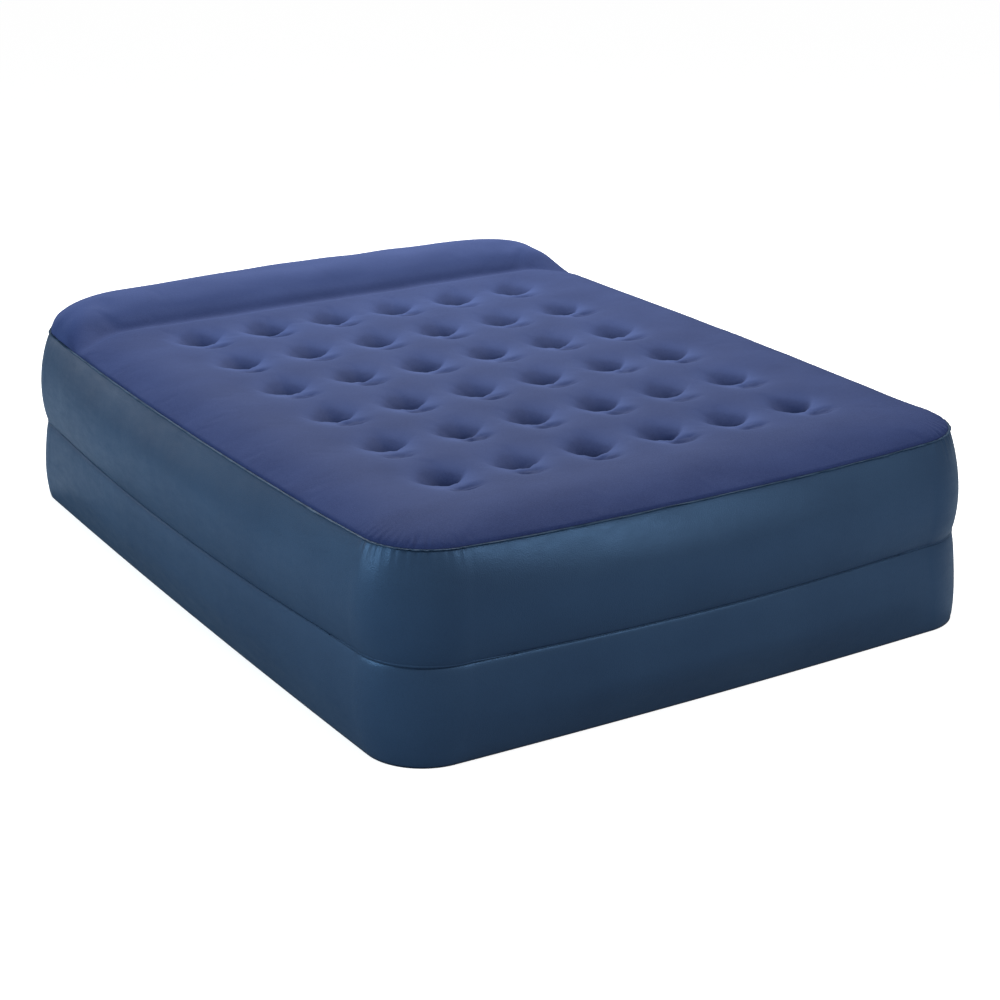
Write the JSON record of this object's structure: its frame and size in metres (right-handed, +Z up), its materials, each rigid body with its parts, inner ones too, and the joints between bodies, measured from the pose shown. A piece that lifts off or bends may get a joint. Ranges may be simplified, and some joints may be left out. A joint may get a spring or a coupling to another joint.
{
  "type": "air mattress",
  "caption": "Raised air bed with a flocked dimpled top, built-in pillow, two-tier side walls, inner coils and beams, and a screw-out valve.",
  "frame": {"origin": "on the floor, under the middle of the bed", "axes": "+Z up, +Y towards the pillow end, +X to the right as seen from the foot end"},
  "size_m": [1.534, 1.996, 0.5143],
  "materials": {
    "flocked_top": "short velour flock on vinyl, blue-violet",
    "wall_vinyl": "satin vinyl film, blue-grey",
    "base_vinyl": "dull embossed vinyl, navy",
    "inner_vinyl": "translucent grey vinyl film",
    "valve_plastic": "moulded vinyl, fine texture",
    "seal_rubber": "black rubber",
    "flap_silicone": "clear silicone"
  },
  "bodies": {
    "base": {"bottom_sheet": "base_vinyl", "lower_side_wall": "wall_vinyl", "lower_beam_1": "inner_vinyl", "lower_beam_2": "inner_vinyl", "lower_beam_3": "inner_vinyl", "lower_beam_4": "inner_vinyl", "lower_beam_5": "inner_vinyl", "lower_beam_6": "inner_vinyl"},
    "partition": {"mid_sheet": "inner_vinyl"},
    "top": {"top_sheet": "flocked_top", "upper_side_wall": "wall_vinyl", "pillow_web": "inner_vinyl", "air_coil_1_1": "inner_vinyl", "air_coil_1_2": "inner_vinyl", "air_coil_1_3": "inner_vinyl", "air_coil_1_4": "inner_vinyl", "air_coil_1_5": "inner_vinyl", "air_coil_1_6": "inner_vinyl", "air_coil_2_1": "inner_vinyl", "air_coil_2_2": "inner_vinyl", "air_coil_2_3": "inner_vinyl", "air_coil_2_4": "inner_vinyl", "air_coil_2_5": "inner_vinyl", "air_coil_2_6": "inner_vinyl", "air_coil_3_1": "inner_vinyl", "air_coil_3_2": "inner_vinyl", "air_coil_3_3": "inner_vinyl", "air_coil_3_4": "inner_vinyl", "air_coil_3_5": "inner_vinyl", "air_coil_3_6": "inner_vinyl", "air_coil_4_1": "inner_vinyl", "air_coil_4_2": "inner_vinyl", "air_coil_4_3": "inner_vinyl", "air_coil_4_4": "inner_vinyl", "air_coil_4_5": "inner_vinyl", "air_coil_4_6": "inner_vinyl", "air_coil_5_1": "inner_vinyl", "air_coil_5_2": "inner_vinyl", "air_coil_5_3": "inner_vinyl", "air_coil_5_4": "inner_vinyl", "air_coil_5_5": "inner_vinyl", "air_coil_5_6": "inner_vinyl", "air_coil_6_1": "inner_vinyl", "air_coil_6_2": "inner_vinyl", "air_coil_6_3": "inner_vinyl", "air_coil_6_4": "inner_vinyl", "air_coil_6_5": "inner_vinyl", "air_coil_6_6": "inner_vinyl"},
    "valve": {"valve_base": "valve_plastic"},
    "strap_ring": {"strap_ring": "valve_plastic"},
    "dump_collar": {"dump_collar": "valve_plastic", "collar_gasket": "seal_rubber", "flap_clip": "valve_plastic"},
    "inflation_plug": {"inflation_plug": "valve_plastic", "plug_strap": "valve_plastic"},
    "check_flap": {"check_flap": "flap_silicone"}
  },
  "joints": [
    {"name": "lower_chamber_sink", "type": "slide", "parent": "base", "child": "partition", "axis": [0, 0, -1], "range_m": [0, 0.08], "deforming": ["lower_side_wall", "lower_beam_1", "lower_beam_2", "lower_beam_3", "lower_beam_4", "lower_beam_5", "lower_beam_6"]},
    {"name": "upper_chamber_sink", "type": "slide", "parent": "partition", "child": "top", "axis": [0, 0, -1], "range_m": [0, 0.11], "stiffness_N_per_m": 20000, "deforming": ["upper_side_wall", "pillow_web", "air_coil_1_1", "air_coil_1_2", "air_coil_1_3", "air_coil_1_4", "air_coil_1_5", "air_coil_1_6", "air_coil_2_1", "air_coil_2_2", "air_coil_2_3", "air_coil_2_4", "air_coil_2_5", "air_coil_2_6", "air_coil_3_1", "air_coil_3_2", "air_coil_3_3", "air_coil_3_4", "air_coil_3_5", "air_coil_3_6", "air_coil_4_1", "air_coil_4_2", "air_coil_4_3", "air_coil_4_4", "air_coil_4_5", "air_coil_4_6", "air_coil_5_1", "air_coil_5_2", "air_coil_5_3", "air_coil_5_4", "air_coil_5_5", "air_coil_5_6", "air_coil_6_1", "air_coil_6_2", "air_coil_6_3", "air_coil_6_4", "air_coil_6_5", "air_coil_6_6"]},
    {"name": "valve_sink", "type": "slide", "parent": "partition", "child": "valve", "axis": [0, 0, -1], "range_m": [0, 0.055]},
    {"name": "collar_lift", "type": "slide", "parent": "valve", "child": "strap_ring", "axis": [0.1087, 0.9941, 0], "range_m": [0, 0.009]},
    {"name": "collar_turn", "type": "hinge", "parent": "strap_ring", "child": "dump_collar", "pos_m": [0.49, 0.97066, 0.316], "axis": [0.1087, 0.9941, 0], "range_deg": [0, 1080]},
    {"name": "plug_flip", "type": "hinge", "parent": "strap_ring", "child": "inflation_plug", "pos_m": [0.49132, 0.98276, 0.2865], "axis": [-0.9941, 0.1087, 0], "range_deg": [0, 150]},
    {"name": "flap_open", "type": "hinge", "parent": "dump_collar", "child": "check_flap", "pos_m": [0.48905, 0.96196, 0.304], "axis": [0.9941, -0.1087, 0], "range_deg": [0, 50]}
  ],
  "couplings": [
    {"joint": "lower_chamber_sink", "follows": "upper_chamber_sink", "ratio": 0.7272},
    {"joint": "valve_sink", "follows": "upper_chamber_sink", "ratio": 0.5},
    {"joint": "collar_lift", "follows": "collar_turn", "m_per_rad": 0.000477}
  ]
}
